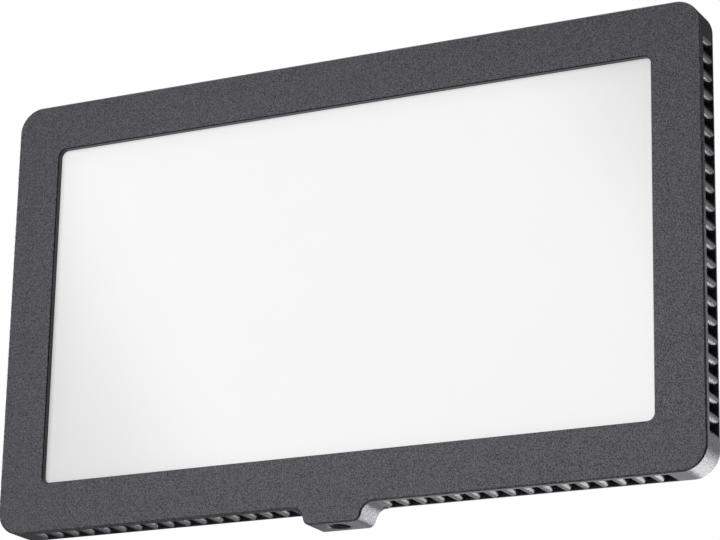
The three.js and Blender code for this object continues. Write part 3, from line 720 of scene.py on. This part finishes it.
def boss_tail():
    """The boss beside the cover's edge: its outline from the flutes' rear face to the back."""
    top = EDGE_Z - BOSS_SEAM
    outline = [(-BOSS_HALF - BOSS_FILLET, top, 0, 0, 0)]
    outline += [point for point in boss_run() if point[1] < top]
    outline += [(BOSS_HALF + BOSS_FILLET, top, 0, 0, 0)]
    bm = bmesh.new()
    loops = [
        loop_at(outline, COVER_Y - 1, lambda depth: 0),
        loop_at(outline, BACK - BACK_CHAMFER, lambda depth: 0),
        loop_at(outline, BACK, lambda depth: BACK_CHAMFER),
    ]
    skin(bm, loops)
    cap(bm)
    return to_mesh("boss_tail", bm)


def tripod_bore():
    """The cutter for the hole in the boss, with its chamfered mouth."""
    bm = bmesh.new()
    profile = (
        (SOCKET_R + SOCKET_CHAMFER + OVERCUT, -OVERCUT),
        (SOCKET_R, SOCKET_CHAMFER),
        (SOCKET_R, SOCKET_DEPTH),
    )
    skin(bm, [upright_circle(radius, z) for radius, z in profile])
    cap(bm, axis=2)
    return to_mesh("tripod_bore", bm)


def port_loop(x, half_length, half_thickness):
    """A stadium round the charging port's axis, at one place along X."""
    outline = rounded_rect(PORT_Y, MID_Z, half_thickness, half_length, half_thickness - 0.01, 12)
    return [(x, point[0], point[1]) for point in outline]


def port_hole():
    """The cutter for the charging port's hole in the left wall, opening out at its mouth."""
    length, thickness = PORT_W / 2 + PORT_CLEAR, PORT_T / 2 + PORT_CLEAR
    stations = ((-OVERCUT, OVERCUT + PORT_CHAMFER), (PORT_CHAMFER, 0), (WALL + OVERCUT, 0))
    bm = bmesh.new()
    skin(bm, [port_loop(-HALF_W + x, length + grow, thickness + grow) for x, grow in stations])
    cap(bm, axis=0)
    return to_mesh("port_hole", bm)


def make_housing():
    """The milled housing: bezel, fluted sides, boss, window, stepped pocket and cover posts."""
    bm = bmesh.new()
    skin(bm, housing_outside())
    skin(bm, window_inside())
    skin(bm, wall_inside())
    for x, z in post_places():
        skin(bm, post_loops(x, z))
    for x, z in plate_hole_places():
        skin(bm, plate_hole_loops(x, z))
    cap(bm)
    steps = [("UNION", boss_tail()), ("DIFFERENCE", tripod_bore()), ("DIFFERENCE", port_hole())]
    mesh = combined(to_mesh("housing", bm), steps)
    piece("housing_shell", mesh, "housing_anodised", replaces=["front_housing"])


# ---- Tripod insert -----------------------------------------------------------------------
THREAD_PITCH = 1.27
THREAD_MINOR_R = 2.6
THREAD_MAJOR_R = 3.12
THREAD_SIDES = 72
THREAD_LEAD_IN = 0.08  # the lead-in's radius above the thread's largest
CREST_END = 0.2  # this and the next two are shares of the pitch
ROOT_START = 0.55
ROOT_END = 0.66


def thread_profile():
    """One pitch of the thread as (z, radius): the crest, a flank and the root."""
    return [
        (0, THREAD_MINOR_R),
        (CREST_END * THREAD_PITCH, THREAD_MINOR_R),
        (ROOT_START * THREAD_PITCH, THREAD_MAJOR_R),
        (ROOT_END * THREAD_PITCH, THREAD_MAJOR_R),
    ]


def thread_points(low, high, lead_in):
    """Columns of points down the bore, one for each angle; both ends run out to a lead-in."""
    turns = math.ceil((high - low) / THREAD_PITCH) + 2
    columns = []
    for i in range(THREAD_SIDES + 1):
        angle = TURN * i / THREAD_SIDES
        column = []
        for turn in range(turns):
            for rise, radius in thread_profile():
                z = low + (turn - 1 + i / THREAD_SIDES) * THREAD_PITCH + rise
                if z <= low or z >= high:
                    radius = lead_in
                z = min(max(z, low), high)
                column.append((radius * math.cos(angle), radius * math.sin(angle), z))
        columns.append(column)
    return columns


def make_insert():
    """The steel sleeve in the boss, with its helical thread."""
    low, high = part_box("tripod_insert")[0].z / MM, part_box("tripod_insert")[1].z / MM
    outer_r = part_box("tripod_insert")[1].x / MM
    lead_in = THREAD_MAJOR_R + THREAD_LEAD_IN
    bm = bmesh.new()
    columns = thread_points(low, high, lead_in)
    grid = [[bm.verts.new(Vector(p) * MM) for p in column] for column in columns]
    for near, far in zip(grid, grid[1:]):
        for j in range(len(near) - 1):
            bm.faces.new((near[j], far[j], far[j + 1], near[j + 1]))
    profile = ((lead_in, low), (outer_r, low), (outer_r, high), (lead_in, high))
    skin(bm, [upright_circle(radius, z, THREAD_SIDES) for radius, z in profile])
    bmesh.ops.remove_doubles(bm, verts=bm.verts, dist=MERGE)
    bmesh.ops.dissolve_degenerate(bm, edges=bm.edges, dist=MERGE)
    # the sleeve is real, but its black steel finish, in place of bright steel, is painted shade for the
    # inside of the hole
    piece("tripod_thread", to_mesh("insert", bm), "black_steel", replaces=["tripod_insert"])


# ---- Back cover --------------------------------------------------------------------------
BUTTONS = ("power", "mode", "minus", "plus")
HOLE_EDGE = 0.12  # the chamfer round each hole in the cover
CAP_CLEAR = 0.2
LENS_CLEAR = 0.2
SINK_R = 2.1
SINK_DEPTH = 0.95
SINK_EDGE = 0.2


def node_middle(node):
    """A node's centre in millimetres, and half its size."""
    low, high = box_mm(node)
    return (low + high) / 2, (high - low) / 2


def lens_half_sizes():
    """Half the width and height of the display lens's face, inside its flange."""
    half = node_middle("display_window")[1]
    return half.x - LENS_FLANGE, half.z - LENS_FLANGE


def lens_loop(grow, y):
    """A loop round the display lens at depth y, grown outwards."""
    middle = node_middle("display_window")[0]
    half_w, half_h = lens_half_sizes()
    radius = DISPLAY_R + min(grow, LENS_CLEAR + HOLE_EDGE)
    outline = rounded_rect(middle.x, middle.z, half_w + grow, half_h + grow, radius)
    return loop_at(outline, y, lambda depth: 0)


def hole_profile(radius):
    """A plain hole through the cover with a small chamfer at its face, as (radius, y)."""
    return ((radius, COVER_Y), (radius, BACK - HOLE_EDGE), (radius + HOLE_EDGE, BACK))


def make_cover():
    """The flat back cover, with its display opening, button holes and countersinks."""
    outline = rounded_rect(0, MID_Z, HALF_W, HALF_H, CORNER_R, 20)
    bm = bmesh.new()
    skin(bm, [
        loop_at(outline, COVER_Y, lambda depth: 0),
        loop_at(outline, BACK - BACK_CHAMFER, lambda depth: 0),
        [(x, BACK, z) for x, _, z in loop_at(inset_outline(outline, BACK_CHAMFER), BACK, lambda depth: 0)],
    ])
    skin(bm, [
        lens_loop(LENS_CLEAR, COVER_Y),
        lens_loop(LENS_CLEAR, BACK - HOLE_EDGE),
        lens_loop(LENS_CLEAR + HOLE_EDGE, BACK),
    ])
    for name in BUTTONS:
        middle = node_middle(f"{name}_button")[0]
        skin(bm, turned_loops(middle.x, middle.z, hole_profile(CAP_R + CAP_CLEAR), 64))
    sink = (
        (COVER_HOLE_R, COVER_Y),
        (COVER_HOLE_R, BACK - SINK_DEPTH),
        (SINK_R, BACK - SINK_EDGE),
        (SINK_R, BACK),
    )
    for x, z in post_places():
        skin(bm, turned_loops(x, z, sink))
    cap(bm)
    piece("rear_cover_plate", to_mesh("cover", bm), "cover_anodised", replaces=["back_cover"])


def inset_outline(outline, inset):
    """Outline points moved inwards."""
    return [(x + ix * inset, z + iz * inset, ix, iz, depth) for x, z, ix, iz, depth in outline]


# ---- Cover screws ------------------------------------------------------------------------
CROSS_ARM = 0.95
CROSS_HALF = 0.19
CROSS_DEPTH = 0.62
SCREW_TWIST = math.radians(37)  # each screw stops at its own angle


def cross_loop(y, arm, half):
    """A cross about the Y axis."""
    corners = []
    for quarter in range(4):
        c, s = math.cos(quarter * QUARTER), math.sin(quarter * QUARTER)
        for u, v in ((half, -half), (arm, -half), (arm, half)):
            corners.append((c * u - s * v, y, s * u + c * v))
    return corners


def cross_recess(face):
    """The cutter for a screw's cross recess, narrowing as it goes in."""
    bm = bmesh.new()
    loops = [
        cross_loop(face - CROSS_DEPTH, CROSS_ARM * 0.5, CROSS_HALF * 0.8),
        cross_loop(face + 0.2, CROSS_ARM, CROSS_HALF),
    ]
    skin(bm, loops)
    cap(bm)
    return to_mesh("cross_recess", bm)


def make_cover_screws():
    """Eight countersunk screws with cross recesses."""
    low, high = box_mm("cover_screw_1")
    face = high.y
    profile = (
        (COVER_SCREW_R - 0.25, low.y),
        (COVER_SCREW_R, low.y + 0.25),
        (COVER_SCREW_R, face - COVER_HEAD_T),
        (COVER_HEAD_R, face - 0.1),
        (COVER_HEAD_R, face - 0.05),
        (COVER_HEAD_R - 0.05, face),
    )
    for index in range(1, 9):
        bm = bmesh.new()
        skin(bm, turned_loops(0, 0, profile))
        cap(bm)
        mesh = combined(to_mesh("screw", bm), [("DIFFERENCE", cross_recess(face))])
        middle = node_middle(f"cover_screw_{index}")[0]
        move = Matrix.Translation(Vector((middle.x, 0, middle.z)) * MM)
        mesh.transform(move @ Matrix.Rotation(SCREW_TWIST * index, 4, "Y"))
        piece(f"cross_screw_{index}", mesh, "black_steel", replaces=[f"cover_screw_{index}"])


# ---- Buttons -----------------------------------------------------------------------------
STROKE = 0.2  # half the width of a symbol's strokes
SYMBOL_SINK = 0.1  # the symbols' tops below the caps' rims
SYMBOL_ROOT = 0.4  # and their undersides
SYMBOL_REACH = 1.6  # from a symbol's middle to the end of its longest stroke
POWER_R = 1.45
POWER_OPENING = math.radians(38)  # half of it
POWER_STROKE_START = 0.35
SUN_R = 0.62
SUN_RAYS = 8
RAY_START = 1.15
MINUS_HALF = 1.35
PLUS_HALF = 1.5
EDGE_STEPS = 4
DISH_SHARES = (0.85, 0.7, 0.5, 0.3, 0.08)  # of the rim's radius, from the rim to the middle


def cap_profile(stem_y, face):
    """A button cap as (radius, y): stem, retaining flange, rounded rim and dished face."""
    flange_y = COVER_Y - CAP_FLANGE_T - SHEET_GAP
    profile = [
        (STEM_TIP_R, stem_y),
        (STEM_TIP_R, stem_y + STEM_TIP),
        (STEM_R, stem_y + STEM_TIP),
        (STEM_R, flange_y),
        (CAP_FLANGE_R, flange_y),
        (CAP_FLANGE_R, COVER_Y - SHEET_GAP),
        (CAP_R, COVER_Y - SHEET_GAP),
    ]
    for i in range(EDGE_STEPS + 1):
        angle = QUARTER * i / EDGE_STEPS
        radius = CAP_R - CAP_EDGE * (1 - math.cos(angle))
        profile.append((radius, face - CAP_EDGE * (1 - math.sin(angle))))
    rim = CAP_R - CAP_EDGE
    for share in DISH_SHARES:
        profile.append((rim * share, face - DISH_DEPTH * (1 - share * share)))
    return profile


def stroke(x0, z0, x1, z1):
    """A straight stroke with round ends, as outline points."""
    angle = math.atan2(z1 - z0, x1 - x0)
    ends = arc(x1, z1, STROKE, angle - QUARTER, angle + QUARTER, 6)
    return ends + arc(x0, z0, STROKE, angle + QUARTER, angle + 3 * QUARTER, 6)


def power_symbol():
    """A ring open at its top, with an upright stroke in the opening."""
    start, end = QUARTER + POWER_OPENING, TURN + QUARTER - POWER_OPENING
    outer = arc(0, 0, POWER_R + STROKE, start, end, 32)
    inner = arc(0, 0, POWER_R - STROKE, end, start, 32)
    return [outer + inner, stroke(0, POWER_STROKE_START, 0, SYMBOL_REACH)]


def mode_symbol():
    """A sun: a disc with rays."""
    shapes = [arc(0, 0, SUN_R, 0, TURN * 23 / 24, 23)]
    for i in range(SUN_RAYS):
        c, s = math.cos(TURN * i / SUN_RAYS), math.sin(TURN * i / SUN_RAYS)
        shapes.append(stroke(RAY_START * c, RAY_START * s, SYMBOL_REACH * c, SYMBOL_REACH * s))
    return shapes


def minus_symbol():
    """One level stroke."""
    return [stroke(-MINUS_HALF, 0, MINUS_HALF, 0)]


def plus_symbol():
    """Two crossed strokes, as one outline."""
    return [[(x, z, 0, 0, 0) for x, _, z in cross_loop(0, PLUS_HALF, STROKE)]]


SYMBOLS = {"power": power_symbol, "mode": mode_symbol, "minus": minus_symbol, "plus": plus_symbol}


def make_buttons():
    """Four round caps with raised symbols, each riding on its own key."""
    for name in BUTTONS:
        middle = node_middle(f"{name}_button")[0]
        low, high = box_mm(f"{name}_button")
        bm = bmesh.new()
        skin(bm, turned_loops(middle.x, middle.z, cap_profile(low.y, high.y), 64))
        cap(bm)
        body = f"{name}_key"
        piece(f"{name}_cap", to_mesh("cap", bm), "button_plastic", body, [f"{name}_button"])
        bm = bmesh.new()
        for shape in SYMBOLS[name]():
            placed = [(middle.x - x, middle.z + z, 0, 0, 0) for x, z, *_ in shape]
            levels = (high.y - SYMBOL_ROOT, high.y - SYMBOL_SINK)
            skin(bm, [loop_at(placed, y, lambda depth: 0) for y in levels])
        cap(bm)
        piece(f"{name}_symbol", to_mesh("symbol", bm), "white_film", body)


# ---- Display lens ------------------------------------------------------------------------
def make_lens():
    """The display's lens: a thin flange inside the cover and a face with rounded edges."""
    low, high = box_mm("display_window")
    flange_y = COVER_Y - LENS_FLANGE_T - SHEET_GAP
    loops = [
        lens_loop(0, low.y),
        lens_loop(0, flange_y),
        lens_loop(LENS_FLANGE, flange_y),
        lens_loop(LENS_FLANGE, COVER_Y - SHEET_GAP),
        lens_loop(0, COVER_Y - SHEET_GAP),
    ]
    for i in range(EDGE_STEPS + 1):
        angle = QUARTER * i / EDGE_STEPS
        grow = -LENS_EDGE * (1 - math.cos(angle))
        loops.append(lens_loop(grow, high.y - LENS_EDGE * (1 - math.sin(angle))))
    bm = bmesh.new()
    skin(bm, loops)
    cap(bm)
    piece("display_pane", to_mesh("lens", bm), "display_lens", replaces=["display_window"])


# ---- Charging socket ---------------------------------------------------------------------
CONTACTS = 12
CONTACT_PITCH = 0.5
CONTACT_W = 0.26
CONTACT_RISE = 0.03  # above the tongue
CONTACT_START = 0.5  # behind the tongue's tip
CONTACT_END = 0.6  # in front of the socket's floor
TONGUE_EDGE = 0.12
TONGUE_ROOT = 0.1  # how far the tongue goes into the floor


def make_socket():
    """The USB-C socket: a drawn shell, its tongue and the contacts on both faces."""
    low, high = box_mm("usb_socket")
    length, thickness = PORT_W / 2, PORT_T / 2
    wall, edge = PORT_SHELL, PORT_SHELL / 2
    floor_x = high.x - PORT_BACK_T
    loops = [
        port_loop(floor_x, length - wall, thickness - wall),
        port_loop(low.x + edge, length - wall, thickness - wall),
    ]
    for i in range(1, 8):
        angle = math.pi * i / 8
        shrink = edge + edge * math.cos(angle)
        loops.append(port_loop(low.x + edge * (1 - math.sin(angle)), length - shrink, thickness - shrink))
    loops.append(port_loop(low.x + edge, length, thickness))
    loops.append(port_loop(high.x, length, thickness))
    bm = bmesh.new()
    skin(bm, loops)
    cap(bm, axis=0)
    piece("usb_shell", to_mesh("usb_shell", bm), "bright_steel", replaces=["usb_socket"])
    tongue_x = low.x + TONGUE_INSET
    stations = ((tongue_x, TONGUE_EDGE), (tongue_x + TONGUE_EDGE, 0), (floor_x + TONGUE_ROOT, 0))
    bm = bmesh.new()
    skin(bm, [tongue_loop(x, shrink) for x, shrink in stations])
    cap(bm, axis=0)
    piece("usb_tongue", to_mesh("usb_tongue", bm), "black_plastic")
    make_contacts(tongue_x + CONTACT_START, floor_x - CONTACT_END)


def tongue_loop(x, shrink):
    """The tongue's section at one place along X."""
    outline = rounded_rect(PORT_Y, MID_Z, TONGUE_T / 2 - shrink, TONGUE_W / 2 - shrink, 0.1, 3)
    return [(x, point[0], point[1]) for point in outline]


def make_contacts(x0, x1):
    """Nickel strips on both faces of the tongue."""
    bm = bmesh.new()
    for i in range(CONTACTS):
        z = MID_Z + (i - (CONTACTS - 1) / 2) * CONTACT_PITCH
        outline = rounded_rect(PORT_Y, z, TONGUE_T / 2 + CONTACT_RISE, CONTACT_W / 2, CONTACT_RISE, 1)
        skin(bm, [[(x, point[0], point[1]) for point in outline] for x in (x0, x1)])
    cap(bm, axis=0)
    piece("usb_contacts", to_mesh("usb_contacts", bm), "nickel_tab")


# ---- Carried-over nodes ------------------------------------------------------------------
def paint_nodes():
    """Gives every carried-over frame node its slot's procedural material."""
    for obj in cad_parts.values():
        slot = obj.data.materials[0].name.split(".")[0]
        obj.data.materials.clear()
        obj.data.materials.append(LOOKS[slot])


make_camera()
make_world()
make_lights()
make_floor()
make_housing()
make_insert()
make_cover()
make_cover_screws()
make_buttons()
make_lens()
make_socket()
paint_nodes()
